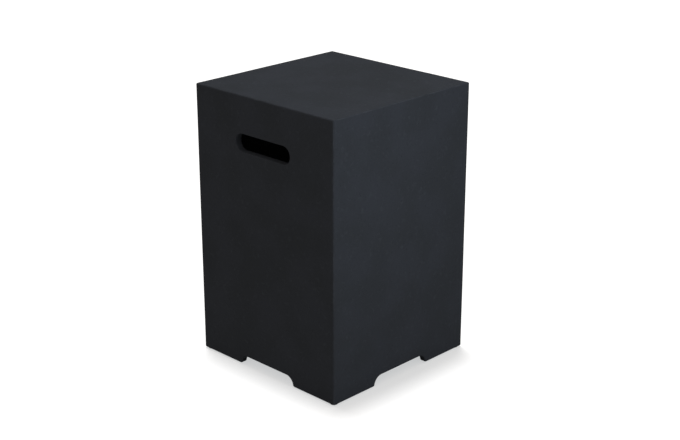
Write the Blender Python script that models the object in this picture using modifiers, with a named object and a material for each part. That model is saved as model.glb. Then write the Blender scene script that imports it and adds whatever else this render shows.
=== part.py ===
"""Gas cylinder cover: a hollow fibre-concrete casting, open below, on four bonded rubber foot pads.

Metres, +Z up. The origin is on the floor under the middle of the cover, and the front wall is at -Y.
"""

import math

import bmesh
import bpy

# The casting
COVER_WIDTH = 0.400
COVER_DEPTH = 0.400
COVER_HEIGHT = 0.600
WALL_THICKNESS = 0.016
TOP_THICKNESS = 0.016

# Rounding of the casting's edges
CORNER_RADIUS = 0.004
TOP_EDGE_RADIUS = 0.003
FOOT_EDGE_RADIUS = 0.003
SLOT_EDGE_RADIUS = 0.003
CEILING_FILLET = 0.008
LEAST_INSIDE_CORNER_FILLET = 0.010

# Hand slots, one through the front wall and one through the rear wall
SLOT_WIDTH = 0.158
SLOT_HEIGHT = 0.038
SLOT_CENTRE_BELOW_TOP = 0.099

# Floor notches for the hose and for air, one in the middle of each wall
NOTCH_WIDTH = 0.158
NOTCH_HEIGHT = 0.020
NOTCH_FLARE_RADIUS = 0.005

# Foot pads, bonded under the corners
PAD_DIAMETER = 0.016
PAD_THICKNESS = 0.002
PAD_EDGE_RADIUS = 0.0005
PAD_SEAT_MARGIN = 0.0005
ADHESIVE_FILM = 0.0003

# Facets
CORNER_SEGMENTS = 5
EDGE_SEGMENTS = 3
FILLET_SEGMENTS = 7
SLOT_END_SEGMENTS = 24
FLARE_SEGMENTS = 5
PAD_SEGMENTS = 32

# An edge turning more than SHARP_ANGLE gets rounded, and one turning less than SMOOTH_ANGLE is shaded smooth
SHARP_ANGLE = math.radians(60)
SMOOTH_ANGLE = math.radians(35)
MERGE_DISTANCE = 0.00002
CUTTER_OVERSHOOT = 0.020

# Finishes: linear colour and roughness
CONCRETE_COLOUR = (0.028, 0.031, 0.036)
CONCRETE_ROUGHNESS = 0.8
RUBBER_COLOUR = (0.012, 0.012, 0.012)
RUBBER_ROUGHNESS = 0.7

# Heights and places that follow from the sizes above
UNDERSIDE = PAD_THICKNESS + ADHESIVE_FILM
CEILING = COVER_HEIGHT - TOP_THICKNESS
SLOT_CENTRE_HEIGHT = COVER_HEIGHT - SLOT_CENTRE_BELOW_TOP
PAD_INSET = FOOT_EDGE_RADIUS + PAD_SEAT_MARGIN + PAD_DIAMETER / 2


def clear_scene():
    for obj in list(bpy.data.objects):
        bpy.data.objects.remove(obj, do_unlink=True)


def make_collection(name):
    collection = bpy.data.collections.new(name)
    bpy.context.scene.collection.children.link(collection)
    return collection


def make_material(name, colour, roughness):
    material = bpy.data.materials.new(name)
    material.use_nodes = True
    shader = material.node_tree.nodes["Principled BSDF"]
    shader.inputs["Base Color"].default_value = (*colour, 1.0)
    shader.inputs["Roughness"].default_value = roughness
    shader.inputs["Metallic"].default_value = 0.0
    material.diffuse_color = (*colour, 1.0)
    return material


def concrete_material():
    return make_material("anthracite_fibre_concrete", CONCRETE_COLOUR, CONCRETE_ROUGHNESS)


def rubber_material():
    return make_material("black_rubber", RUBBER_COLOUR, RUBBER_ROUGHNESS)


def add_object(name, mesh, collection):
    obj = bpy.data.objects.new(name, mesh)
    collection.objects.link(obj)
    return obj


def upright_edges(bm):
    return [edge for edge in bm.edges if abs(edge.verts[0].co.z - edge.verts[1].co.z) > MERGE_DISTANCE]


def edges_at_height(bm, height):
    return [edge for edge in bm.edges if all(abs(vert.co.z - height) < MERGE_DISTANCE for vert in edge.verts)]


def bevel_edges(bm, edges, radius, segments):
    bmesh.ops.bevel(
        bm,
        geom=edges,
        offset=radius,
        offset_type="OFFSET",
        segments=segments,
        profile=0.5,
        affect="EDGES",
        clamp_overlap=True,
        material=-1,
    )


def rounded_block(name, width, depth, low, high, corner_radius, top_radius, segments):
    """A box standing between two heights, with its upright edges rounded first and then its top edge."""
    bm = bmesh.new()
    bmesh.ops.create_cube(bm, size=1.0)
    bmesh.ops.scale(bm, vec=(width, depth, high - low), verts=bm.verts)
    bmesh.ops.translate(bm, vec=(0, 0, (low + high) / 2), verts=bm.verts)
    bevel_edges(bm, upright_edges(bm), corner_radius, segments)
    bevel_edges(bm, edges_at_height(bm, high), top_radius, segments)
    mesh = bpy.data.meshes.new(name)
    bm.to_mesh(mesh)
    bm.free()
    return mesh


def arc(centre, radius, start, end, segments):
    """Points on an arc between two angles in degrees, both ends included."""
    points = []
    for step in range(segments + 1):
        angle = math.radians(start + (end - start) * step / segments)
        points.append((centre[0] + radius * math.cos(angle), centre[1] + radius * math.sin(angle)))
    return points


def slot_outline():
    """A slot with full round ends."""
    radius = SLOT_HEIGHT / 2
    centre = SLOT_WIDTH / 2 - radius
    right = arc((centre, 0), radius, -90, 90, SLOT_END_SEGMENTS)
    left = arc((-centre, 0), radius, 90, 270, SLOT_END_SEGMENTS)
    return right + left


def notch_outline():
    """The upper half of a slot with full round ends, its feet flaring out into the underside at height 0.

    The flare runs on along its first facet, so that it crosses the underside and doesn't end on it.
    """
    radius = NOTCH_HEIGHT
    centre = NOTCH_WIDTH / 2 - radius
    flare_centre = centre + math.sqrt(radius**2 + 2 * radius * NOTCH_FLARE_RADIUS)
    meeting = math.degrees(math.asin(NOTCH_FLARE_RADIUS / (radius + NOTCH_FLARE_RADIUS)))
    flare = arc((flare_centre, NOTCH_FLARE_RADIUS), NOTCH_FLARE_RADIUS, 270, 180 + meeting, FLARE_SEGMENTS)
    slope = flare[1][1] / (flare[0][0] - flare[1][0])
    run_on = [(flare_centre + CUTTER_OVERSHOOT, -slope * CUTTER_OVERSHOOT)]
    shoulder = arc((centre, 0), radius, meeting, 90, SLOT_END_SEGMENTS // 2)
    right = run_on + flare[1:] + shoulder[1:]
    left = [(-x, y) for x, y in reversed(right)]
    return right + left


def bar_cutter(name, outline, length, collection):
    """A bar lying along Y whose section is the outline, made from a filled 2D curve."""
    curve = bpy.data.curves.new(name, "CURVE")
    curve.dimensions = "2D"
    curve.fill_mode = "BOTH"
    curve.extrude = length / 2
    spline = curve.splines.new("POLY")
    spline.points.add(len(outline) - 1)
    for point, (x, y) in zip(spline.points, outline):
        point.co = (x, y, 0, 1)
    spline.use_cyclic_u = True
    flat = add_object(name + "_outline", curve, collection)
    flat.rotation_euler = (math.pi / 2, 0, 0)
    bpy.context.view_layer.update()
    mesh = bpy.data.meshes.new_from_object(flat.evaluated_get(bpy.context.evaluated_depsgraph_get()))
    bm = bmesh.new()
    bm.from_mesh(mesh)
    bmesh.ops.remove_doubles(bm, verts=bm.verts, dist=MERGE_DISTANCE)
    bmesh.ops.recalc_face_normals(bm, faces=bm.faces)
    bm.to_mesh(mesh)
    bm.free()
    cutter = add_object(name, mesh, collection)
    cutter.matrix_world = flat.matrix_world
    bpy.data.objects.remove(flat, do_unlink=True)
    return as_cutter(cutter)


def as_cutter(obj):
    obj.hide_render = True
    obj.display_type = "WIRE"
    return obj


def inside_corner_fillet():
    """The fillet that leaves a whole pad's seat between the outer and the inner edge of the underside."""
    seat_radius = PAD_DIAMETER / 2 + PAD_SEAT_MARGIN
    short_of_fillet = (WALL_THICKNESS - PAD_INSET) * math.sqrt(2)
    needed = (seat_radius + FOOT_EDGE_RADIUS - short_of_fillet) / (math.sqrt(2) - 1)
    return max(needed, LEAST_INSIDE_CORNER_FILLET)


def make_core(collection):
    """The space for the cylinder, open through the underside."""
    mesh = rounded_block(
        "cylinder_space",
        COVER_WIDTH - 2 * WALL_THICKNESS,
        COVER_DEPTH - 2 * WALL_THICKNESS,
        UNDERSIDE - CUTTER_OVERSHOOT,
        CEILING,
        inside_corner_fillet(),
        CEILING_FILLET,
        FILLET_SEGMENTS,
    )
    return as_cutter(add_object("cylinder_space", mesh, collection))


def make_slot_cutter(collection):
    cutter = bar_cutter("hand_slots", slot_outline(), COVER_DEPTH + 2 * CUTTER_OVERSHOOT, collection)
    cutter.location.z = SLOT_CENTRE_HEIGHT
    return cutter


def make_notch_cutters(collection):
    """One bar through the front and the rear wall, and one through the side walls."""
    along_depth = bar_cutter(
        "notches_front_rear", notch_outline(), COVER_DEPTH + 2 * CUTTER_OVERSHOOT, collection
    )
    along_width = bar_cutter("notches_sides", notch_outline(), COVER_WIDTH + 2 * CUTTER_OVERSHOOT, collection)
    along_width.rotation_euler.z = math.pi / 2
    for cutter in (along_depth, along_width):
        cutter.location.z = UNDERSIDE
    return [along_depth, along_width]


def add_cut(obj, cutter):
    modifier = obj.modifiers.new("cut_" + cutter.name, "BOOLEAN")
    modifier.operation = "DIFFERENCE"
    modifier.solver = "EXACT"
    modifier.object = cutter


def add_symmetry(obj):
    """Keeps one quarter and mirrors it, so that all four corners are the same."""
    modifier = obj.modifiers.new("symmetry", "MIRROR")
    modifier.use_axis = (True, True, False)
    modifier.use_bisect_axis = (True, True, False)
    modifier.use_mirror_merge = True
    modifier.merge_threshold = MERGE_DISTANCE


def apply_modifiers(obj):
    bpy.context.view_layer.update()
    evaluated = obj.evaluated_get(bpy.context.evaluated_depsgraph_get())
    mesh = bpy.data.meshes.new_from_object(evaluated)
    obj.modifiers.clear()
    obj.data = mesh


def is_sharp(edge):
    return len(edge.link_faces) == 2 and edge.calc_face_angle() > SHARP_ANGLE


def round_foot_edges(bm):
    """The rims of the underside and of the notches, inside and outside."""
    top_of_notches = UNDERSIDE + NOTCH_HEIGHT + MERGE_DISTANCE
    edges = [
        edge for edge in bm.edges
        if is_sharp(edge) and all(vert.co.z < top_of_notches for vert in edge.verts)
    ]
    bevel_edges(bm, edges, FOOT_EDGE_RADIUS, EDGE_SEGMENTS)


def round_slot_edges(bm):
    """The rims of both hand slots, inside and outside."""
    reach = SLOT_HEIGHT / 2 + MERGE_DISTANCE
    edges = [
        edge for edge in bm.edges
        if is_sharp(edge) and all(abs(vert.co.z - SLOT_CENTRE_HEIGHT) < reach for vert in edge.verts)
    ]
    bevel_edges(bm, edges, SLOT_EDGE_RADIUS, EDGE_SEGMENTS)


def shade_smooth(obj):
    obj.data.shade_smooth()
    obj.data.set_sharp_from_angle(angle=SMOOTH_ANGLE)
    modifier = obj.modifiers.new("flat_faces_stay_flat", "WEIGHTED_NORMAL")
    modifier.keep_sharp = True


def make_shell(parts, cutters):
    mesh = rounded_block(
        "cover_shell",
        COVER_WIDTH,
        COVER_DEPTH,
        UNDERSIDE,
        COVER_HEIGHT,
        CORNER_RADIUS,
        TOP_EDGE_RADIUS,
        CORNER_SEGMENTS,
    )
    shell = add_object("cover_shell", mesh, parts)
    for cutter in [make_core(cutters), make_slot_cutter(cutters), *make_notch_cutters(cutters)]:
        add_cut(shell, cutter)
    add_symmetry(shell)
    apply_modifiers(shell)
    bm = bmesh.new()
    bm.from_mesh(shell.data)
    round_foot_edges(bm)
    round_slot_edges(bm)
    bm.to_mesh(shell.data)
    bm.free()
    shell.data.materials.clear()
    shell.data.materials.append(concrete_material())
    shade_smooth(shell)
    return shell


def pad_mesh():
    """A flat disc with its lower rim rounded, its upper face at the object's origin."""
    bm = bmesh.new()
    bmesh.ops.create_cone(
        bm,
        cap_ends=True,
        segments=PAD_SEGMENTS,
        radius1=PAD_DIAMETER / 2,
        radius2=PAD_DIAMETER / 2,
        depth=PAD_THICKNESS,
    )
    bmesh.ops.translate(bm, vec=(0, 0, -PAD_THICKNESS / 2), verts=bm.verts)
    bevel_edges(bm, edges_at_height(bm, -PAD_THICKNESS), PAD_EDGE_RADIUS, EDGE_SEGMENTS)
    mesh = bpy.data.meshes.new("foot_pad")
    bm.to_mesh(mesh)
    bm.free()
    return mesh


def make_foot_pads(parts):
    mesh = pad_mesh()
    mesh.materials.append(rubber_material())
    across = COVER_WIDTH / 2 - PAD_INSET
    along = COVER_DEPTH / 2 - PAD_INSET
    for end, y in (("front", -along), ("rear", along)):
        for side, x in (("left", -across), ("right", across)):
            pad = add_object(f"foot_pad_{end}_{side}", mesh, parts)
            pad.location = (x, y, PAD_THICKNESS)
    mesh.shade_smooth()
    mesh.set_sharp_from_angle(angle=SMOOTH_ANGLE)


def main():
    clear_scene()
    parts = make_collection("gas_cylinder_cover")
    cutters = make_collection("cutters")
    cutters.hide_render = True
    make_shell(parts, cutters)
    make_foot_pads(parts)


main()
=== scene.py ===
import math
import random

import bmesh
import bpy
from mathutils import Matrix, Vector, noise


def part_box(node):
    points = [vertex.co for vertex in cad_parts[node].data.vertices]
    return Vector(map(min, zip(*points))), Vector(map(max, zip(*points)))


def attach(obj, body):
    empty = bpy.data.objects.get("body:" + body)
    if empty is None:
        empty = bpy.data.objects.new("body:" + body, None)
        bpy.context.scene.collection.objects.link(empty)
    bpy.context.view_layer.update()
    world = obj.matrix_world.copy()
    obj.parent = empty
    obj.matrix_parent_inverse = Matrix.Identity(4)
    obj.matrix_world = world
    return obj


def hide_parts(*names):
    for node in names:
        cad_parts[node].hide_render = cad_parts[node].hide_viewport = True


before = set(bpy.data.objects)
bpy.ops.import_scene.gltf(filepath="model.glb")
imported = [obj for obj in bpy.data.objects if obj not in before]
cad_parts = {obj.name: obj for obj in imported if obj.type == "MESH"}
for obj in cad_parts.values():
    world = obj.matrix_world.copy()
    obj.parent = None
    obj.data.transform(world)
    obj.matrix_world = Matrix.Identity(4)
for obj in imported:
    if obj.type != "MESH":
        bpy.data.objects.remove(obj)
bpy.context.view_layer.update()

# %% [markdown]
# # A gas cylinder cover in anthracite fibre concrete
#
# The object is a square, hollow casting that is lowered over a gas cylinder. It is open below, has a
# slot for the hand near the top of two walls, and a low arch at the floor in each wall for the hose.
# The frame above holds its solids at their real size, so everything here is in metres and a piece is
# simply built where it belongs. The lesson goes from the camera to the casting, its pads, the
# finishes and the light.

shell_low, shell_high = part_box("cover_shell")
MM = 0.001
print("nodes:", sorted(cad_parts))

# %% [markdown]
# ## The camera
#
# A photograph taken from close by makes the far edges much shorter than the near ones. Here they
# shrink only a little and the upright edges lean in by less than two degrees, which is what a short
# telephoto lens does from about three metres. The camera is placed by two angles round the object and
# a distance, because those are the numbers that one can read off a picture.

# %% Camera
CAMERA_AZIMUTH = math.radians(44.437)
CAMERA_ELEVATION = math.radians(20.266)
CAMERA_DISTANCE = 2.9593
CAMERA_LENS_MM = 73.40
SENSOR_MM = 36
AIM_HEIGHT = 0.2980
AIM_TO_THE_RIGHT = 0.0148


def direction(azimuth, elevation):
    """Unit vector from the object towards a viewer or a lamp at these angles."""
    flat = math.cos(elevation)
    return Vector((math.sin(azimuth) * flat, -math.cos(azimuth) * flat, math.sin(elevation)))


def add_to_scene(name, data):
    made = bpy.data.objects.new(name, data)
    bpy.context.scene.collection.objects.link(made)
    return made


def face_towards(obj, back):
    """Turns a camera or lamp so that it looks against the direction that it stands in."""
    obj.rotation_euler = (-back).to_track_quat("-Z", "Y").to_euler()


back = direction(CAMERA_AZIMUTH, CAMERA_ELEVATION)
to_the_right = Vector((math.cos(CAMERA_AZIMUTH), math.sin(CAMERA_AZIMUTH), 0))
camera = add_to_scene("camera", bpy.data.cameras.new("camera"))
camera.location = to_the_right * AIM_TO_THE_RIGHT + Vector((0, 0, AIM_HEIGHT)) + back * CAMERA_DISTANCE
camera.data.sensor_width = SENSOR_MM
camera.data.lens = CAMERA_LENS_MM
face_towards(camera, back)
bpy.context.scene.camera = camera
print("camera stands at, m:", [round(c, 3) for c in camera.location])

# %% [markdown]
# ## The sizes of the casting
#
# The outer sizes come from the solid in the frame. The other ones are those of the mould: the walls
# are about 16 mm thick, as glass-fibre concrete is poured, and every edge is rounded, because a sharp
# arris of concrete would chip when the form is opened. The rims of the slot are rounded the least, as
# the photograph shows them nearly sharp. The slot and the arches have full round ends, and the arches
# run out into the underside in a small curve. One size follows from the rubber pads: in each corner
# the inside fillet is just wide enough to leave a flat seat for a whole pad.

# %% Sizes
HALF = shell_high.x
UNDERSIDE = shell_low.z
TOP = shell_high.z
WALL = 16 * MM
ROOF = 16 * MM
OUTER_CORNER = 4 * MM
TOP_ARRIS = 3 * MM
FOOT_ROUNDING = 3 * MM
CEILING_FILLET = 8 * MM
SLOT_HEIGHT = TOP - 99 * MM
SLOT_RADIUS = 19 * MM
SLOT_STRAIGHT_HALF = 60 * MM
SLOT_ROUNDING = 1.0 * MM
ARCH_RADIUS = 20 * MM
ARCH_STRAIGHT_HALF = 59 * MM
ARCH_RUN_OUT = 5 * MM
SEAT_MARGIN = 0.5 * MM
MERGE = 0.01 * MM


def inside_corner_fillet():
    pad_low, pad_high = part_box("foot_pad_front_right")
    seat = (pad_high.x - pad_low.x) / 2 + SEAT_MARGIN
    pad_from_outside = HALF - (pad_low.x + pad_high.x) / 2
    return (seat + FOOT_ROUNDING - (WALL - pad_from_outside) * math.sqrt(2)) / (math.sqrt(2) - 1)


INNER_CORNER = inside_corner_fillet()
print("inside corner fillet, mm:", round(INNER_CORNER / MM, 2))
print("underside stands above the floor, mm:", round(UNDERSIDE / MM, 2))

# %% [markdown]
# ## A pen that draws with operators
#
# A wall is a flat shape with a few round corners, much like a sheet metal blank. It could be a cube
# with shapes cut out by a Boolean, but a Boolean leaves ragged faces round a cut, and those round off
# badly. Here the outline is drawn instead, as with a pen: extruding a vertex draws a straight line, and
# spinning a vertex round a centre draws an arc. Both hand back the vertex that the pen has reached.

# %% The pen
ARC_STEPS = 16


def line_to(bm, vert, x, z):
    reached = bmesh.ops.extrude_vert_indiv(bm, verts=[vert])["verts"][0]
    reached.co = (x, vert.co.y, z)
    return reached


def arc_about(bm, vert, x, z, degrees, steps):
    drawn = bmesh.ops.spin(bm, geom=[vert], cent=(x, vert.co.y, z), axis=(0, 1, 0),
                           angle=math.radians(degrees), steps=steps, dvec=(0, 0, 0),
                           use_merge=False, use_normal_flip=False, use_duplicate=False)
    return [item for item in drawn["geom_last"] if isinstance(item, bmesh.types.BMVert)][0]


# %% [markdown]
# ## Half a wall
#
# The cover is alike on both sides of its middle, so half a wall is enough. The pen starts at the
# middle of the arch, follows its round end, turns the other way into the underside, goes round the
# wall and, where there is a hand slot, comes back along half of that too. Because the middle line is
# where the halves will meet, the slot there is simply a bay in the outline, and one face fills it all.

# %% Half a wall
def draw_arch_and_foot(bm, pen, corner_x):
    pen = line_to(bm, pen, ARCH_STRAIGHT_HALF, UNDERSIDE + ARCH_RADIUS)
    reach = ARCH_RADIUS + ARCH_RUN_OUT
    swing = math.degrees(math.acos(ARCH_RUN_OUT / reach))
    run_out_x = ARCH_STRAIGHT_HALF + math.sqrt(reach ** 2 - ARCH_RUN_OUT ** 2)
    pen = arc_about(bm, pen, ARCH_STRAIGHT_HALF, UNDERSIDE, swing, ARC_STEPS)
    pen = arc_about(bm, pen, run_out_x, UNDERSIDE + ARCH_RUN_OUT, -swing, ARC_STEPS // 2)
    return line_to(bm, pen, corner_x, UNDERSIDE)


def draw_hand_slot(bm, pen):
    pen = line_to(bm, pen, 0, SLOT_HEIGHT + SLOT_RADIUS)
    pen = line_to(bm, pen, SLOT_STRAIGHT_HALF, SLOT_HEIGHT + SLOT_RADIUS)
    pen = arc_about(bm, pen, SLOT_STRAIGHT_HALF, SLOT_HEIGHT, 180, 2 * ARC_STEPS)
    return line_to(bm, pen, 0, SLOT_HEIGHT - SLOT_RADIUS)


def half_wall(bm, distance, corner_x, top, with_slot):
    first = bmesh.ops.create_vert(bm, co=(0, -distance, UNDERSIDE + ARCH_RADIUS))["vert"][0]
    drawn_before = set(bm.verts) - {first}
    pen = draw_arch_and_foot(bm, first, corner_x)
    pen = line_to(bm, pen, corner_x, top)
    pen = line_to(bm, pen, 0, top)
    if with_slot:
        pen = draw_hand_slot(bm, pen)
    bm.edges.new((pen, first))
    verts = [vert for vert in bm.verts if vert not in drawn_before]
    outline = [edge for edge in bm.edges if edge.verts[0] not in drawn_before]
    bmesh.ops.contextual_create(bm, geom=outline)
    return verts


# %% [markdown]
# ## A quarter of a skin
#
# The casting has an outer skin, which lay against the mould, and an inner one, which was left by the
# core. A quarter of a skin is half a front wall and half a side wall. The side wall is drawn like the
# front one and swapped over the diagonal. Spinning the front wall's upright edge by a quarter turn
# makes the rounded corner between the two, one more face closes the top, and the edge round the top
# gets its rounding, small outside and wide inside.

# %% A quarter of a skin
CORNER_STEPS = 8
TOP_STEPS, CEILING_STEPS, RIM_STEPS = 5, 6, 4
SWAP_OVER_DIAGONAL = Matrix(((0, -1, 0, 0), (-1, 0, 0, 0), (0, 0, 1, 0), (0, 0, 0, 1)))


def all_at(edge, axis, place):
    return all(abs(vert.co[axis] - place) < MERGE for vert in edge.verts)


def round_off(bm, edges, radius, segments):
    bmesh.ops.recalc_face_normals(bm, faces=bm.faces)
    bmesh.ops.bevel(bm, geom=edges, offset=radius, offset_type="OFFSET", segments=segments,
                    profile=0.5, affect="EDGES", clamp_overlap=True, material=-1)


def close_top(bm, top):
    middle = bmesh.ops.create_vert(bm, co=(0, 0, top))["vert"][0]
    rim = [edge for edge in bm.edges if all_at(edge, 2, top)]
    rim_verts = {vert for edge in rim for vert in edge.verts}
    at_the_planes = [vert for vert in rim_verts if min(abs(vert.co.x), abs(vert.co.y)) < MERGE]
    spokes = [bm.edges.new((vert, middle)) for vert in sorted(at_the_planes, key=lambda vert: vert.co.x)]
    bmesh.ops.contextual_create(bm, geom=rim + spokes)
    return rim


def quarter_skin(distance, corner, top, edge_radius, edge_segments, material_index):
    bm = bmesh.new()
    corner_x = distance - corner
    half_wall(bm, distance, corner_x, top, with_slot=True)
    side = half_wall(bm, distance, corner_x, top, with_slot=False)
    bmesh.ops.transform(bm, matrix=SWAP_OVER_DIAGONAL, verts=side)
    upright = [edge for edge in bm.edges if all_at(edge, 0, corner_x) and all_at(edge, 1, -distance)]
    bmesh.ops.spin(bm, geom=upright, cent=(corner_x, -corner_x, 0), axis=(0, 0, 1), angle=math.pi / 2,
                   steps=CORNER_STEPS, dvec=(0, 0, 0),
                   use_merge=False, use_normal_flip=False, use_duplicate=False)
    bmesh.ops.remove_doubles(bm, verts=bm.verts, dist=MERGE)
    round_off(bm, close_top(bm, top), edge_radius, edge_segments)
    for face in bm.faces:
        face.material_index = material_index
    return bm


# %% [markdown]
# ## From two skins to the whole casting
#
# Bridging joins the open rims of the two skins, and those bridges are the walls of the slot, the
# soffits of the arches and the narrow underside. Each rim, inside and outside, is one long chain of
# edges, so a single bevel runs round it without a break. Only then is the quarter mirrored twice. Done
# in this order, each hard place is modelled once and comes out the same in all four corners.

# %% The whole casting
MOULD_FACE, CORE_FACE = 0, 1
MIDDLE_HEIGHT = TOP / 2


def on_a_mirror_plane(edge):
    return all_at(edge, 0, 0) or all_at(edge, 1, 0)


def cast_quarter():
    bm = quarter_skin(HALF, OUTER_CORNER, TOP, TOP_ARRIS, TOP_STEPS, MOULD_FACE)
    core = quarter_skin(HALF - WALL, INNER_CORNER, TOP - ROOF, CEILING_FILLET, CEILING_STEPS, CORE_FACE)
    core_mesh = bpy.data.meshes.new("core_skin")
    core.to_mesh(core_mesh)
    core.free()
    bm.from_mesh(core_mesh)
    bpy.data.meshes.remove(core_mesh)
    rims = [edge for edge in bm.edges if edge.is_boundary and not on_a_mirror_plane(edge)]
    slot_rims = [edge for edge in rims if edge.verts[0].co.z > MIDDLE_HEIGHT]
    foot_rims = [edge for edge in rims if edge.verts[0].co.z < MIDDLE_HEIGHT]
    for pair in (slot_rims, foot_rims):
        bmesh.ops.bridge_loops(bm, edges=pair)
    round_off(bm, slot_rims, SLOT_ROUNDING, RIM_STEPS)
    round_off(bm, foot_rims, FOOT_ROUNDING, RIM_STEPS)
    return bm


bm = cast_quarter()
for axis in "XY":
    bmesh.ops.mirror(bm, geom=bm.verts[:] + bm.edges[:] + bm.faces[:], matrix=Matrix.Identity(4),
                     merge_dist=MERGE, axis=axis)
bmesh.ops.recalc_face_normals(bm, faces=bm.faces)
print("closed:", all(edge.is_manifold for edge in bm.edges), "- litres of concrete:",
      round(bm.calc_volume() * 1000, 2))

# %% [markdown]
# ## Even cells
#
# So far a whole wall is one face. A surface that is to wave a little needs points all over, and a
# subdivision would give this shape long thin faces. Slicing it with evenly spaced planes along each
# axis gives square cells of about 12 mm instead. The planes are spaced symmetrically but never pass
# exactly through the middle, where the halves already meet. The rough inside gets one more cut.

# %% Even cells
CELL = 12.5 * MM
SNAP = 0.2 * MM


def slice_evenly(bm, axis, low, high):
    count = round((high - low) / CELL)
    step = (high - low) / count
    normal = Vector((axis == 0, axis == 1, axis == 2))
    for number in range(count):
        bmesh.ops.bisect_plane(bm, geom=bm.verts[:] + bm.edges[:] + bm.faces[:], dist=SNAP,
                               plane_co=normal * (low + (number + 0.5) * step), plane_no=normal)


for axis, low, high in ((0, -HALF, HALF), (1, -HALF, HALF), (2, 0, TOP)):
    slice_evenly(bm, axis, low, high)
inside_edges = [edge for edge in bm.edges if edge.calc_length() > CELL / 2
                and all(face.material_index == CORE_FACE for face in edge.link_faces)]
bmesh.ops.subdivide_edges(bm, edges=inside_edges, cuts=1, use_grid_fill=True)
print("faces after slicing:", len(bm.faces))

# %% [markdown]
# ## The faces as they come out of the mould
#
# No poured wall is a perfect plane. The mould gives a little under the weight of the concrete, and the
# face comes out with long, shallow waves of a few tenths of a millimetre, which only show as slow
# changes of tone. The inside is where the concrete was pressed on by hand and roller, and is lumpy.
# Both are noise read at each vertex. The outside only ever moves inwards, so the cover never grows
# past its solid. The waves fade out towards the feet, where the pads need a flat seat, and the lumps
# fade out at every rim, where the mould parts met.

# %% Waves and lumps
WAVE_DEPTH = 0.30 * MM
WAVE_LENGTH = 110 * MM
LUMP_HEIGHT = 0.8 * MM
LUMP_SPACING = 24 * MM
FINE_LUMP_SPACING = LUMP_SPACING / 2.5
FINE_LUMP_SHARE = 0.4
FINE_LUMPS_START, WAVES_START = Vector((7, 3, 5)), Vector((2, 9, 4))    # so that no two patterns agree
SEAT_FADE = 8 * MM
RIM_FADE = 16 * MM


def smooth_rise(value):
    value = min(max(value, 0.0), 1.0)
    return value * value * (3 - 2 * value)


def clear_of_rims(point):
    """How far a point of the inside is from the nearest slot, arch or foot rim, roughly."""
    along = min(abs(point.x), abs(point.y))
    beyond = max(along - SLOT_STRAIGHT_HALF, 0)
    clearances = [math.hypot(beyond, point.z - UNDERSIDE) - ARCH_RADIUS, point.z - UNDERSIDE]
    if abs(point.y) > abs(point.x):
        clearances.append(math.hypot(beyond, point.z - SLOT_HEIGHT) - SLOT_RADIUS)
    return min(clearances)


bm.normal_update()
moves = {}
for vert in bm.verts:
    if all(face.material_index == CORE_FACE for face in vert.link_faces):
        coarse = noise.noise(vert.co / LUMP_SPACING)
        fine = noise.noise(vert.co / FINE_LUMP_SPACING + FINE_LUMPS_START)
        fade = smooth_rise(clear_of_rims(vert.co) / RIM_FADE)
        amount = LUMP_HEIGHT * (coarse + FINE_LUMP_SHARE * fine) * fade
    else:
        wave = 0.5 + 0.5 * noise.noise(vert.co / WAVE_LENGTH + WAVES_START)
        amount = -WAVE_DEPTH * wave * smooth_rise((vert.co.z - UNDERSIDE) / SEAT_FADE)
    moves[vert] = vert.normal * amount
for vert, move in moves.items():
    vert.co += move
print("largest move, mm:", round(max(move.length for move in moves.values()) / MM, 2))

# %% [markdown]
# ## Air holes
#
# A few small bubbles always stay trapped against the mould, and leave pits of about a millimetre. A
# bump map would draw them, but a pit that is really there also catches the light from the side. Each
# one is a cell of the mould face that is inset down to a small square, moved off the middle of its
# cell, rounded by a bevel of its corners and then inset twice more, a little deeper each time.

# %% Air holes
PIT_COUNT = 110
PIT_RADIUS = (0.35 * MM, 0.85 * MM)
PIT_ROOM = 0.25 * CELL
LEAST_CELL_SIDE = 0.81 * CELL
CORNER_CUT = 0.58    # of the radius, which makes the square a nearly even octagon
PIT_STEPS = ((0.18, 0.55), (0.35, 0.35))    # how far inwards and how much deeper, in radii
PIT_SEED = 14
draws = random.Random(PIT_SEED)


def sink_pit(bm, cell, radius, shift):
    side = math.sqrt(cell.calc_area())
    bmesh.ops.inset_individual(bm, faces=[cell], thickness=side / 2 - radius, depth=0, use_even_offset=True)
    along = (cell.verts[1].co - cell.verts[0].co).normalized()
    across = (cell.verts[2].co - cell.verts[1].co).normalized()
    bmesh.ops.translate(bm, verts=cell.verts[:], vec=along * shift[0] + across * shift[1])
    made = bmesh.ops.bevel(bm, geom=cell.verts[:], offset=radius * CORNER_CUT, offset_type="OFFSET",
                           segments=1, profile=0.5, affect="VERTICES", clamp_overlap=True, material=-1)
    around = {face for vert in made["verts"] for face in vert.link_faces}
    octagons = [face for face in around
                if len(face.verts) == 8 and all(vert in made["verts"] for vert in face.verts)]
    return octagons[0]


def whole_flat_cells(bm):
    cells = [face for face in bm.faces if face.material_index == MOULD_FACE and len(face.verts) == 4
             and min(edge.calc_length() for edge in face.edges) > LEAST_CELL_SIDE]
    return sorted(cells, key=lambda face: tuple(round(c, 4) for c in face.calc_center_median()))


cells = draws.sample(whole_flat_cells(bm), PIT_COUNT)
for cell in cells:
    radius = draws.uniform(*PIT_RADIUS)
    shift = (draws.uniform(-PIT_ROOM, PIT_ROOM), draws.uniform(-PIT_ROOM, PIT_ROOM))
    mouth = sink_pit(bm, cell, radius, shift)
    for inwards, deeper in PIT_STEPS:
        bmesh.ops.inset_individual(bm, faces=[mouth], thickness=radius * inwards, depth=-radius * deeper,
                                   use_even_offset=True)
print("closed:", all(edge.is_manifold for edge in bm.edges), "faces:", len(bm.faces))

# %% [markdown]
# ## The casting takes its solid's place
#
# The finished mesh replaces the plain solid of the frame, and rides on the same body. It is shaded
# smooth, so that a rounding of a few steps looks round, and a Weighted Normal modifier lets the large
# faces decide the shading along their borders, so that the flat walls stay flat up to the edge.

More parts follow.
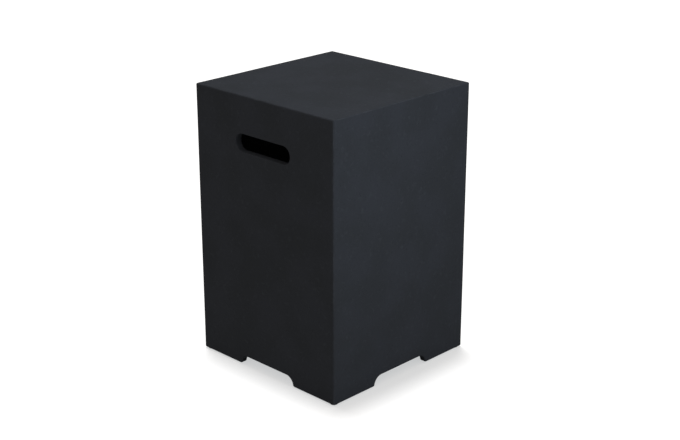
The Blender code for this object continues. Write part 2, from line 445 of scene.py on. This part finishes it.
# %% The cast shell
cast_mesh = bpy.data.meshes.new("cast_shell")
bm.to_mesh(cast_mesh)
bm.free()
cast_mesh.polygons.foreach_set("use_smooth", [True] * len(cast_mesh.polygons))
cast_shell = add_to_scene("cast_shell", cast_mesh)
flat_walls = cast_shell.modifiers.new("flat_walls", "WEIGHTED_NORMAL")
flat_walls.mode = "FACE_AREA"
flat_walls.weight = 50
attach(cast_shell, "root")
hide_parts("cover_shell")
print("cast shell, mm:", [round(size / MM, 2) for size in cast_shell.dimensions])

# %% [markdown]
# ## The film under each corner
#
# The rubber pads are bonded on with a thin disc of double-sided film, three tenths of a millimetre
# thick and a little smaller than the pad. It is a short cylinder whose two rims are softened, because
# the foam of such a film bulges slightly. Each is made at the origin, and its points are then moved
# to its pad by the pad's own box.

# %% Adhesive films
FILM_MARGIN = 0.3 * MM
FILM_SIDES = 48
FILM_EDGE, FILM_EDGE_STEPS = 0.06 * MM, 2


def adhesive_film(name, pad):
    low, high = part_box(pad)
    radius = (high.x - low.x) / 2 - FILM_MARGIN
    thickness = UNDERSIDE - high.z
    place = Vector(((low.x + high.x) / 2, (low.y + high.y) / 2, high.z + thickness / 2))
    bm = bmesh.new()
    bmesh.ops.create_cone(bm, cap_ends=True, segments=FILM_SIDES, radius1=radius, radius2=radius,
                          depth=thickness)
    rims = [edge for edge in bm.edges if abs(edge.verts[0].co.z - edge.verts[1].co.z) < MERGE]
    bmesh.ops.bevel(bm, geom=rims, offset=FILM_EDGE, segments=FILM_EDGE_STEPS, profile=0.5,
                    affect="EDGES", material=-1)
    bmesh.ops.translate(bm, verts=bm.verts, vec=place)
    mesh = bpy.data.meshes.new(name)
    bm.to_mesh(mesh)
    bm.free()
    film = add_to_scene(name, mesh)
    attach(film, "root")
    return film


pads = [name for name in sorted(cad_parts) if name.startswith("foot_pad")]
films = [adhesive_film(name.replace("foot_pad", "adhesive_film"), name) for name in pads]
print("films:", [film.name for film in films])

# %% [markdown]
# ## Helpers for the finishes
#
# Colours are written the way a paint chart or a picture editor gives them, and one function turns
# them into the linear values that a shader works with. One more function adds a node together with
# its settings, values and links, so that a material reads from top to bottom like a recipe. A value
# that is the same all over a surface is set on the shader itself, and only what varies is linked.

# %% Colours and nodes
SHADER = "Principled BSDF"


def linear(hex_colour):
    """Turns an sRGB colour such as "#2f3237" into linear values, by the standard curve."""
    values = [int(hex_colour[i:i + 2], 16) / 255 for i in (1, 3, 5)]
    return [v / 12.92 if v <= 0.04045 else ((v + 0.055) / 1.055) ** 2.4 for v in values] + [1.0]


def add_node(material, kind, settings=(), values=(), links=()):
    """Adds a node, sets its properties and sockets, and links outputs of other nodes into it."""
    tree = material.node_tree
    node = tree.nodes.new("ShaderNode" + kind)
    for name, value in dict(settings).items():
        setattr(node, name, value)
    for name, value in dict(values).items():
        node.inputs[name].default_value = value
    for name, output in dict(links).items():
        tree.links.new(output, node.inputs[name])
    return node


def new_material(name, even_values=()):
    material = bpy.data.materials.new(name)
    material.use_nodes = True
    for socket, value in dict(even_values).items():
        material.node_tree.nodes[SHADER].inputs[socket].default_value = value
    return material


def feed_shader(material, outputs):
    for socket, output in outputs.items():
        material.node_tree.links.new(output, material.node_tree.nodes[SHADER].inputs[socket])


def per_metre(size_mm):
    """The Scale of a pattern whose features are about this size, when coordinates are in metres."""
    return 1000 / size_mm


print("a middle grey, #808080, is linear:", [round(value, 3) for value in linear("#808080")[:3]])

# %% [markdown]
# ## Layers
#
# Concrete and rubber get their look in the same way: a base colour, and over it a few layers, each
# with a colour of its own and a pattern that says where it lies. The pattern is a noise of one real
# size. Map Range cuts it, so that a layer lies only where the noise is high, and limits how strong
# the layer gets at most. A material's layers are then just a short list, from the lowest up.

# %% Layers
SHARE, BELOW, ABOVE, MIXED = 0, 6, 7, 2    # the sockets of a Mix node that work on colours
COLOURS = {"data_type": "RGBA"}
SMOOTH = {"interpolation_type": "SMOOTHSTEP"}
MULTIPLY, MAXIMUM = {"operation": "MULTIPLY"}, {"operation": "MAXIMUM"}


def pattern(material, at, size_mm, low, high, most=1.0, detail=3.0, distortion=0.0):
    """Where a layer lies: nothing below one value of a noise, and its full strength above another."""
    grain = add_node(material, "TexNoise", links={"Vector": at},
                     values={"Scale": per_metre(size_mm), "Detail": detail, "Distortion": distortion})
    return add_node(material, "MapRange", SMOOTH, {"From Min": low, "From Max": high, "To Max": most},
                    {"Value": grain.outputs["Fac"]}).outputs["Result"]


def lay_over(material, colour, at, layers):
    """Lays each layer over what is below it: its colour, wherever its own pattern lies."""
    for layer_colour, where in layers:
        colour = add_node(material, "Mix", COLOURS, {ABOVE: linear(layer_colour)},
                          {SHARE: pattern(material, at, **where), BELOW: colour}).outputs[MIXED]
    return colour


# %% [markdown]
# ## The face of the casting
#
# The real material is glass-fibre concrete, dyed through with black iron oxide and cast against a
# smooth mould, then left matt. Cement never dries evenly, so it has clouds the size of a hand, smaller
# dark blotches where it stayed wet for longer, and a pale and a dark mottling of a few millimetres. The
# sand in it is finer than a millimetre, and is drawn at one millimetre so that it shows. Tiny pores
# are painted as dark dots, a painted shade for the hollow of each pore, and lie where a point of a
# three-dimensional cell pattern happens to be at the face.

# %% Cast concrete: colour
CLOUD_TONES = ("#2d3034", "#2f3237")
CLOUDS = {"size_mm": 95, "low": 0.36, "high": 0.64, "detail": 2.0}
BLOTCHES_MOTTLING_AND_SAND = (
    ("#25272a", {"size_mm": 24, "low": 0.50, "high": 0.72, "most": 0.10, "distortion": 0.5}),
    ("#3b3f44", {"size_mm": 9, "low": 0.54, "high": 0.76, "most": 0.29, "distortion": 0.8}),
    ("#202225", {"size_mm": 5, "low": 0.56, "high": 0.78, "most": 0.39}),
    ("#44474c", {"size_mm": 1.0, "low": 0.58, "high": 0.80, "most": 0.30}),
)
PORE_CELL = 7    # millimetres
PORE_CORE, PORE_RIM = 0.04, 0.075    # distances from a pore's middle, in parts of its cell
PORELESS_UP_TO = 0.60    # a cell whose random tone is no paler than this has no pore


def concrete_colour(material, at, clouds):
    dark, pale = [linear(tone) for tone in CLOUD_TONES]
    colour = add_node(material, "Mix", COLOURS, {BELOW: dark, ABOVE: pale}, {SHARE: clouds})
    return lay_over(material, colour.outputs[MIXED], at, BLOTCHES_MOTTLING_AND_SAND)


def pores(material, at):
    cells = add_node(material, "TexVoronoi", values={"Scale": per_metre(PORE_CELL)}, links={"Vector": at})
    dot = add_node(material, "MapRange", SMOOTH,
                   {"From Min": PORE_CORE, "From Max": PORE_RIM, "To Min": 1.0, "To Max": 0.0},
                   {"Value": cells.outputs["Distance"]})
    chosen = add_node(material, "Math", {"operation": "GREATER_THAN"}, {1: PORELESS_UP_TO},
                      {0: cells.outputs["Color"]})
    return add_node(material, "Math", MULTIPLY,
                    links={0: dot.outputs["Result"], 1: chosen.outputs["Value"]}).outputs["Value"]


# %% [markdown]
# ## Rubbed edges
#
# The rounded outer edges are what the cover is knocked and rubbed on, so they have lost some of their
# dark cement skin and look paler. An edge is told from a face by its normal: on a face one of its three
# parts is 1, and on a rounding the largest part is less. The insides of the slot and the arches are
# curved as well, so the layer is also held to the points that lie at the outer walls.

# %% Cast concrete: rubbed edges
RUBBED_COLOUR = "#3d4045"
RUBBED_PLACES = {"size_mm": 26, "low": 0.35, "high": 0.70, "most": 0.6}
FLAT_NORMAL, ROUND_NORMAL = 0.98, 0.78
SKIN_START, SKIN_FULL = 4 * MM, 2 * MM    # depths below the outer walls


def largest_part(material, vector, parts):
    absolute = add_node(material, "VectorMath", {"operation": "ABSOLUTE"}, links={0: vector})
    split = add_node(material, "SeparateXYZ", links={"Vector": absolute.outputs["Vector"]})
    largest = split.outputs[parts[0]]
    for part in parts[1:]:
        largest = add_node(material, "Math", MAXIMUM,
                           links={0: largest, 1: split.outputs[part]}).outputs["Value"]
    return largest


def rubbed_edges(material, where, at):
    rounding = add_node(material, "MapRange", SMOOTH, {"From Min": FLAT_NORMAL, "From Max": ROUND_NORMAL},
                        {"Value": largest_part(material, where.outputs["Normal"], "XYZ")})
    at_outer_walls = add_node(material, "MapRange", (),
                              {"From Min": HALF - SKIN_START, "From Max": HALF - SKIN_FULL},
                              {"Value": largest_part(material, at, "XY")})
    share = rounding.outputs["Result"]
    for limit in (at_outer_walls.outputs["Result"], pattern(material, at, **RUBBED_PLACES)):
        share = add_node(material, "Math", MULTIPLY, links={0: share, 1: limit}).outputs["Value"]
    return share


# %% [markdown]
# ## Relief and sheen
#
# The sheen is very weak, because a porous surface scatters the light within itself: a roughness
# above 0.9, a little lower in the clouds, and only a tenth of the usual specular level, which keeps a
# dark matt face from taking on the white of its surroundings. Three bumps follow each other: slow
# waves left by the mould, the grain of the sand, and the pores, each with a depth in millimetres.

# %% Cast concrete: relief
# The pores' near-black colour is painted shade, standing in for the shade inside each tiny hollow.
PORE_SHADE_COLOUR = "#17181a"
DULL, LEAST_DULL = 0.95, 0.92
MATT = {"Specular IOR Level": 0.05}
WAVES = {"size_mm": 42, "detail": 2.0, "depth_mm": 0.2, "strength": 0.3}
SAND = {"size_mm": 1.3, "detail": 3.0, "depth_mm": 0.18, "strength": 0.5}
PORES = {"depth_mm": 0.4, "strength": 0.8, "sunken": True}


def relief(material, heights):
    """A chain of bumps, each of which takes the normal that the one before it leaves."""
    normal = {}
    for height, form in heights:
        bump = add_node(material, "Bump", {"invert": form.get("sunken", False)},
                        {"Strength": form["strength"], "Distance": form["depth_mm"] * MM},
                        {"Height": height, **normal})
        normal = {"Normal": bump.outputs["Normal"]}
    return normal["Normal"]


def cast_concrete():
    material = new_material("cast_fibre_concrete", MATT)
    where = add_node(material, "TexCoord")
    at = where.outputs["Object"]
    clouds, dots = pattern(material, at, **CLOUDS), pores(material, at)
    colour = concrete_colour(material, at, clouds)
    # The pores are painted dark here: painted shade in their hollows, over the paler rubbed edges.
    for above, share in ((RUBBED_COLOUR, rubbed_edges(material, where, at)), (PORE_SHADE_COLOUR, dots)):
        colour = add_node(material, "Mix", COLOURS, {ABOVE: linear(above)},
                          {SHARE: share, BELOW: colour}).outputs[MIXED]
    roughness = add_node(material, "MapRange", (), {"To Min": DULL, "To Max": LEAST_DULL},
                         {"Value": clouds})
    heights = [(dots, PORES)]
    for form in (SAND, WAVES):
        uneven = add_node(material, "TexNoise", (),
                          {"Scale": per_metre(form["size_mm"]), "Detail": form["detail"]}, {"Vector": at})
        heights.insert(0, (uneven.outputs["Fac"], form))
    feed_shader(material, {"Base Color": colour, "Roughness": roughness.outputs["Result"],
                           "Normal": relief(material, heights)})
    return material


concrete_face = cast_concrete()
print("concrete nodes:", len(concrete_face.node_tree.nodes))

# %% [markdown]
# ## The back of the casting
#
# The inside never touched the mould. It was rolled down by hand on a mix full of chopped glass
# strands, so it is paler and rougher, and single strands lie in it in all directions. A strand is a
# noise that is squeezed to half a millimetre across, coarser than a real one so that it shows, and
# left 14 mm long. Three such noises, each turned another way, make a loose mat.

# %% Rolled concrete of the inside
STRAND_WIDTH, STRAND_LENGTH = 0.5, 14
STRAND_TURNS = ((40, 0, 15), (-48, 20, 70), (85, 30, -25))
STRAND_COLOUR = "#6d6e6f"
STRANDS_AT_THE_FACE = {"size_mm": 30, "low": 0.40, "high": 0.60, "most": 0.7}
BARE_NOISE, FULL_STRAND = 0.74, 0.80
ROLLED_PATCHES = (("#4a4c50", {"size_mm": 18, "low": 0.42, "high": 0.70, "most": 0.55, "detail": 6.0}),)
CRUST = {"size_mm": 6, "detail": 6.0, "harshness": 0.6, "depth_mm": 2.0, "strength": 0.8}
MAT_RELIEF = {"depth_mm": 0.25, "strength": 0.6}


def strands(material, at, turn):
    turned = add_node(material, "Mapping", {"vector_type": "TEXTURE"},
                      {"Rotation": [math.radians(angle) for angle in turn]}, {"Vector": at})
    across, along = per_metre(STRAND_WIDTH), per_metre(STRAND_LENGTH)
    squeezed = add_node(material, "Mapping", {"vector_type": "POINT"}, {"Scale": (across, across, along)},
                        {"Vector": turned.outputs["Vector"]})
    noise_along = add_node(material, "TexNoise", (), {"Scale": 1.0, "Detail": 0.0},
                           {"Vector": squeezed.outputs["Vector"]})
    return add_node(material, "MapRange", (), {"From Min": BARE_NOISE, "From Max": FULL_STRAND},
                    {"Value": noise_along.outputs["Fac"]}).outputs["Result"]


def strand_mat(material, at):
    mat = strands(material, at, STRAND_TURNS[0])
    for turn in STRAND_TURNS[1:]:
        mat = add_node(material, "Math", MAXIMUM,
                       links={0: mat, 1: strands(material, at, turn)}).outputs["Value"]
    return mat


def rolled_concrete():
    material = new_material("rolled_fibre_concrete", {"Roughness": DULL, **MATT})
    at = add_node(material, "TexCoord").outputs["Object"]
    colour = concrete_colour(material, at, pattern(material, at, **CLOUDS))
    colour = lay_over(material, colour, at, ROLLED_PATCHES)
    mat = strand_mat(material, at)
    bared = add_node(material, "Math", MULTIPLY,
                     links={0: mat, 1: pattern(material, at, **STRANDS_AT_THE_FACE)})
    colour = add_node(material, "Mix", COLOURS, {ABOVE: linear(STRAND_COLOUR)},
                      {SHARE: bared.outputs["Value"], BELOW: colour}).outputs[MIXED]
    crust = add_node(material, "TexNoise", (),
                     {"Scale": per_metre(CRUST["size_mm"]), "Detail": CRUST["detail"],
                      "Roughness": CRUST["harshness"]}, {"Vector": at})
    heights = [(crust.outputs["Fac"], CRUST), (mat, MAT_RELIEF)]
    feed_shader(material, {"Base Color": colour, "Normal": relief(material, heights)})
    return material


concrete_back = rolled_concrete()
print("back nodes:", len(concrete_back.node_tree.nodes))

# %% [markdown]
# ## Rubber and film
#
# The pads are moulded black rubber, which is dark, even and faintly grained, and soon carries a little
# grey dust from the patio. The film is black foam under its adhesive, softer and duller still. Both are
# nearly hidden, but from below they are what the cover stands on.

# %% Rubber and film
RUBBER_TONES, FOAM_TONES = ("#121212", "#1c1c1b"), ("#0e0e0f", "#222223")
RUBBER_GRAIN = {"size_mm": 0.4, "detail": 2.0, "depth_mm": 0.06, "strength": 0.6}
FOAM_BUBBLES = {"size_mm": 0.25, "depth_mm": 0.05, "strength": 0.5}
DUST_COLOUR = "#2e2d2a"
DUST = {"size_mm": 3, "low": 0.50, "high": 0.75, "most": 0.35, "detail": 5.0}
CLEAN_ROUGHNESS, DUSTY_ROUGHNESS, FOAM_ROUGHNESS = 0.75, 0.92, 0.92
RUBBER_SPECULAR = 0.10


def moulded_rubber():
    material = new_material("moulded_black_rubber", {"Specular IOR Level": RUBBER_SPECULAR})
    at = add_node(material, "TexCoord").outputs["Object"]
    dust = pattern(material, at, **DUST)
    grain = add_node(material, "TexNoise", (),
                     {"Scale": per_metre(RUBBER_GRAIN["size_mm"]), "Detail": RUBBER_GRAIN["detail"]},
                     {"Vector": at}).outputs["Fac"]
    dark, pale = [linear(tone) for tone in RUBBER_TONES]
    clean = add_node(material, "Mix", COLOURS, {BELOW: dark, ABOVE: pale}, {SHARE: grain})
    colour = add_node(material, "Mix", COLOURS, {ABOVE: linear(DUST_COLOUR)},
                      {SHARE: dust, BELOW: clean.outputs[MIXED]})
    roughness = add_node(material, "MapRange", (),
                         {"To Min": CLEAN_ROUGHNESS, "To Max": DUSTY_ROUGHNESS}, {"Value": dust})
    feed_shader(material, {"Base Color": colour.outputs[MIXED], "Roughness": roughness.outputs["Result"],
                           "Normal": relief(material, [(grain, RUBBER_GRAIN)])})
    return material


def foam_film():
    material = new_material("black_foam_film", {"Roughness": FOAM_ROUGHNESS, **MATT})
    at = add_node(material, "TexCoord").outputs["Object"]
    bubbles = add_node(material, "TexVoronoi", (), {"Scale": per_metre(FOAM_BUBBLES["size_mm"])},
                       {"Vector": at}).outputs["Distance"]
    dark, pale = [linear(tone) for tone in FOAM_TONES]
    colour = add_node(material, "Mix", COLOURS, {BELOW: dark, ABOVE: pale}, {SHARE: bubbles})
    feed_shader(material, {"Base Color": colour.outputs[MIXED],
                           "Normal": relief(material, [(bubbles, FOAM_BUBBLES)])})
    return material


rubber, film_foam = moulded_rubber(), foam_film()


def dress(piece, *materials):
    piece.data.materials.clear()
    for material in materials:
        piece.data.materials.append(material)


dress(cast_shell, concrete_face, concrete_back)
for film in films:
    dress(film, film_foam)
for name in pads:
    dress(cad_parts[name], rubber)
print("materials:", [material.name for material in (concrete_face, concrete_back, rubber, film_foam)])

# %% [markdown]
# ## The floor
#
# The cover stands on a sheet of white paper. Paper that is lit to pure white would throw a lot of
# light up at the dark walls, so what the camera sees is kept apart from what lights the object: Light
# Path tells the two kinds of ray apart. The camera, and rays that mirror or pass light, meet paper
# that is half lit by itself, so that the cover's shadow lies on it as a soft grey and never turns
# black. Every other ray meets plain grey paper.

# %% Floor
FLOOR_HALF_SIZE = 15
PAPER_SEEN = 0.45
PAPER_GLOW = 0.56
PAPER_GLOW_TINT = (0.965, 0.985, 1, 1)
PAPER_BOUNCE = 0.225


def rays_that_see(material_or_world):
    """1 for camera, glossy and transmission rays, which show the backdrop, and 0 for the others."""
    path = add_node(material_or_world, "LightPath")
    seen = path.outputs["Is Camera Ray"]
    for kind in ("Is Glossy Ray", "Is Transmission Ray"):
        seen = add_node(material_or_world, "Math", MAXIMUM,
                        links={0: seen, 1: path.outputs[kind]}).outputs["Value"]
    return seen


def white_paper():
    material = new_material("white_paper")
    material.node_tree.nodes.remove(material.node_tree.nodes[SHADER])
    lit, plain = [add_node(material, "BsdfDiffuse", values={"Color": (tone, tone, tone, 1)}).outputs[0]
                  for tone in (PAPER_SEEN, PAPER_BOUNCE)]
    glow = add_node(material, "Emission", values={"Color": PAPER_GLOW_TINT, "Strength": PAPER_GLOW})
    shown = add_node(material, "AddShader", links={0: lit, 1: glow.outputs[0]})
    both = add_node(material, "MixShader",
                    links={0: rays_that_see(material), 1: plain, 2: shown.outputs[0]})
    surface = material.node_tree.nodes["Material Output"].inputs["Surface"]
    material.node_tree.links.new(both.outputs[0], surface)
    return material


floor_mesh = bpy.data.meshes.new("floor")
bm = bmesh.new()
bmesh.ops.create_grid(bm, x_segments=1, y_segments=1, size=FLOOR_HALF_SIZE)
bm.to_mesh(floor_mesh)
bm.free()
floor = add_to_scene("floor", floor_mesh)
dress(floor, white_paper())
print("floor, m:", [round(size, 1) for size in floor.dimensions])

# %% [markdown]
# ## The studio round it
#
# The world is the soft light that comes from all sides in a pale, slightly warm room. It lights the
# object at a plain level, and only the camera, and rays that mirror or pass light, see it as the
# white backdrop.

# %% World
ROOM_LIGHT = 0.58
ROOM_TINT = (1.0, 0.912, 0.841, 1)
BACKDROP_WHITE = 1.0
world = bpy.data.worlds.new("studio")
world.use_nodes = True
room = world.node_tree.nodes["Background"]
room.inputs["Color"].default_value = ROOM_TINT
room.inputs["Strength"].default_value = ROOM_LIGHT
backdrop = add_node(world, "Background", values={"Color": (1, 1, 1, 1), "Strength": BACKDROP_WHITE})
seen_room = add_node(world, "MixShader",
                     links={0: rays_that_see(world), 1: room.outputs[0], 2: backdrop.outputs[0]})
world.node_tree.links.new(seen_room.outputs[0], world.node_tree.nodes["World Output"].inputs["Surface"])
bpy.context.scene.world = world
print("room's light:", ROOM_LIGHT, "- backdrop:", BACKDROP_WHITE)

# %% [markdown]
# ## The lamps
#
# One large lamp would light all faces alike, and a dark matt box would become a flat shape. In the
# photograph the top is the lightest face, the right one follows, and the front lies in soft shade, so
# each is given its own share: a round lamp low on the right, far enough round the corner to leave the
# slot dark, one above it, and a large one high behind on the left. Most of the front's light is the
# room's. The lamps are slightly cool, to balance the warm room. A far lamp almost straight above lights
# only the paper, and throws the short soft shadow on it. Light linking keeps the two apart: every lamp
# has a collection of the objects that it lights.

# %% Light
LAMP_TINT = (0.82, 0.90, 1.0)
SOFT_LAMPS = (    # name, size in m, watts, and the place: azimuth and elevation in degrees, distance in m
    ("lamp_right", 0.4, 3.65, (80, 22, 1.05)),
    ("lamp_high_right", 0.6, 2.28, (84, 55, 1.3)),
    ("lamp_back_left", 1.2, 15.3, (242, 60, 2.4)),
)
FLOOR_LAMP_SOFTNESS = 0.14    # the angle, in radians, that it fills in the sky
FLOOR_LAMP_STRENGTH = 2.85
FLOOR_LAMP_PLACE = (241, 84.0, 3.0)


def place_lamp(data, place, lights):
    azimuth, elevation, distance = place
    lamp = add_to_scene(data.name, data)
    towards = direction(math.radians(azimuth), math.radians(elevation))
    lamp.location = Vector((0, 0, MIDDLE_HEIGHT)) + towards * distance
    face_towards(lamp, towards)
    receivers = bpy.data.collections.new(data.name + "_lights")
    for obj in lights:
        receivers.objects.link(obj)
    lamp.light_linking.receiver_collection = receivers


def soft_lamp(name, size, watts):
    data = bpy.data.lights.new(name, "AREA")
    data.shape = "DISK"
    data.size = size
    data.energy = watts
    data.color = LAMP_TINT
    return data


def far_lamp(name, softness, strength):
    data = bpy.data.lights.new(name, "SUN")
    data.angle = softness
    data.energy = strength
    return data


the_cover = [cast_shell] + films + [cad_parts[name] for name in pads]
for name, size, watts, place in SOFT_LAMPS:
    place_lamp(soft_lamp(name, size, watts), place, the_cover)
over_floor = far_lamp("lamp_over_floor", FLOOR_LAMP_SOFTNESS, FLOOR_LAMP_STRENGTH)
place_lamp(over_floor, FLOOR_LAMP_PLACE, [floor])
bpy.context.scene.view_settings.view_transform = "Standard"
